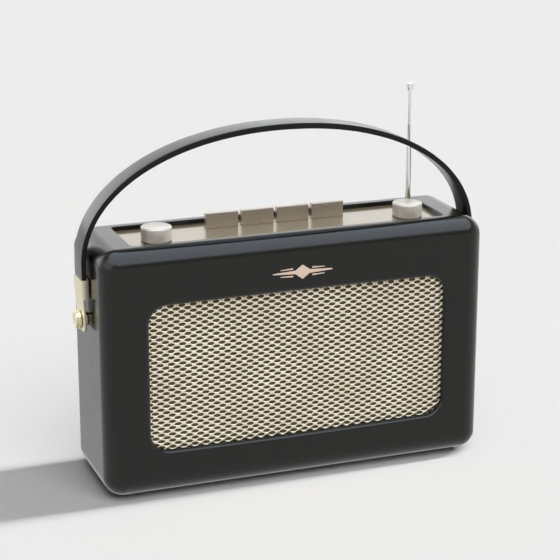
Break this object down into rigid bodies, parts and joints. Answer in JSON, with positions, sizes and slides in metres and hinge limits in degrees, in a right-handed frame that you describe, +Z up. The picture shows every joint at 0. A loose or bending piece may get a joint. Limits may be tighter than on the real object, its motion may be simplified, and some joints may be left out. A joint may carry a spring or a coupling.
{
  "type": "portable radio",
  "caption": "Leather-covered portable radio: strap handle on brass pivots, woven metal grille, brass top panel with knobs, upright keys and a pull-up aerial",
  "frame": {"origin": "on the table, under the middle of the cabinet", "axes": "+X to the right seen from the front, +Y to the back, +Z up"},
  "size_m": [0.266, 0.0818, 0.2365],
  "materials": {
    "leather": "satin",
    "brass": "polished",
    "grille_metal": "woven satin wire",
    "emblem_metal": "satin",
    "knob_metal": "satin",
    "key_metal": "satin",
    "black_plastic": "fine grain",
    "rubber": "matte",
    "steel": "zinc plated",
    "painted_steel": "satin",
    "zinc": "dull",
    "board": "bonded paper",
    "hardboard": "stained black",
    "chrome": "polished",
    "paper": "felted",
    "ferrite": "unglazed",
    "copper": "enamelled wire",
    "pale_plastic": "moulded",
    "cell_jacket": "printed sleeve, plain",
    "capacitor_sleeve": "sleeved"
  },
  "bodies": {
    "cabinet": {"cabinet_shell": "leather", "control_plate": "brass", "pivot_studs": "brass", "pivot_washers": "brass", "pivot_inserts": "brass", "board_standoffs": "brass", "grille_mesh": "grille_metal", "emblem": "emblem_metal", "base_plate": "black_plastic", "control_chassis": "black_plastic", "rear_panel": "black_plastic", "battery_box": "black_plastic", "headphone_socket": "black_plastic", "dc_socket": "black_plastic", "key_switches": "black_plastic", "feet": "rubber", "speaker_surround": "rubber", "base_screws": "steel", "baffle_screws": "steel", "chassis_screws": "steel", "rear_panel_screws": "steel", "speaker_screws": "steel", "control_nuts": "steel", "key_spring_1": "steel", "key_spring_2": "steel", "key_spring_3": "steel", "key_spring_4": "steel", "door_pin": "steel", "battery_contacts": "steel", "speaker_basket": "painted_steel", "volume_control": "zinc", "tuning_control": "zinc", "tuner_can": "zinc", "key_switch_board": "board", "main_board": "board", "baffle_board": "hardboard", "aerial_bush": "chrome", "speaker_magnet": "ferrite", "ferrite_rod": "ferrite", "ferrite_coil": "copper", "ferrite_brackets": "pale_plastic", "battery_cells": "cell_jacket", "capacitors": "capacitor_sleeve"},
    "volume": {"volume_knob": "knob_metal", "volume_shaft": "steel"},
    "tuning": {"tuning_knob": "knob_metal", "tuning_shaft": "steel"},
    "key_1_body": {"key_1": "key_metal"},
    "key_2_body": {"key_2": "key_metal"},
    "key_3_body": {"key_3": "key_metal"},
    "key_4_body": {"key_4": "key_metal"},
    "aerial_lower": {"aerial_tube_1": "chrome"},
    "aerial_middle": {"aerial_tube_2": "chrome"},
    "aerial_upper": {"aerial_rod": "chrome", "aerial_tip": "chrome"},
    "handle": {"handle_strap": "leather", "handle_fitting_left": "brass", "handle_fitting_right": "brass"},
    "door": {"battery_door": "black_plastic"},
    "cone": {"speaker_cone": "paper"}
  },
  "joints": [
    {"name": "handle_swing", "type": "hinge", "parent": "cabinet", "child": "handle", "pos_m": [0, 0, 0.1086], "axis": [1, 0, 0], "range_deg": [-3, 128]},
    {"name": "volume_turn", "type": "hinge", "parent": "cabinet", "child": "volume", "pos_m": [-0.082, -0.0062, 0.155], "axis": [0, 0, 1], "range_deg": [-140, 140]},
    {"name": "tuning_turn", "type": "hinge", "parent": "cabinet", "child": "tuning", "pos_m": [0.0845, -0.0062, 0.155], "axis": [0, 0, 1], "continuous": true},
    {"name": "key_1_press", "type": "slide", "parent": "cabinet", "child": "key_1_body", "axis": [0, 0, -1], "range_m": [0, 0.003], "stiffness_N_per_m": 120, "springref_m": -0.001, "deforming": ["key_spring_1"]},
    {"name": "key_2_press", "type": "slide", "parent": "cabinet", "child": "key_2_body", "axis": [0, 0, -1], "range_m": [0, 0.003], "stiffness_N_per_m": 120, "springref_m": -0.001, "deforming": ["key_spring_2"]},
    {"name": "key_3_press", "type": "slide", "parent": "cabinet", "child": "key_3_body", "axis": [0, 0, -1], "range_m": [0, 0.003], "stiffness_N_per_m": 120, "springref_m": -0.001, "deforming": ["key_spring_3"]},
    {"name": "key_4_press", "type": "slide", "parent": "cabinet", "child": "key_4_body", "axis": [0, 0, -1], "range_m": [0, 0.003], "stiffness_N_per_m": 120, "springref_m": -0.001, "deforming": ["key_spring_4"]},
    {"name": "aerial_lower_slide", "type": "slide", "parent": "cabinet", "child": "aerial_lower", "axis": [0, 0, 1], "range_m": [-0.038, 0.034]},
    {"name": "aerial_middle_slide", "type": "slide", "parent": "aerial_lower", "child": "aerial_middle", "axis": [0, 0, 1], "range_m": [-0.0145, 0.06]},
    {"name": "aerial_upper_slide", "type": "slide", "parent": "aerial_middle", "child": "aerial_upper", "axis": [0, 0, 1], "range_m": [-0.021, 0.06]},
    {"name": "battery_door_hinge", "type": "hinge", "parent": "cabinet", "child": "door", "pos_m": [0.03, 0.0383, 0.034], "axis": [1, 0, 0], "range_deg": [-115, 0]},
    {"name": "speaker_cone_travel", "type": "slide", "parent": "cabinet", "child": "cone", "axis": [0, 1, 0], "range_m": [-0.0005, 0.0005], "stiffness_N_per_m": 300}
  ]
}
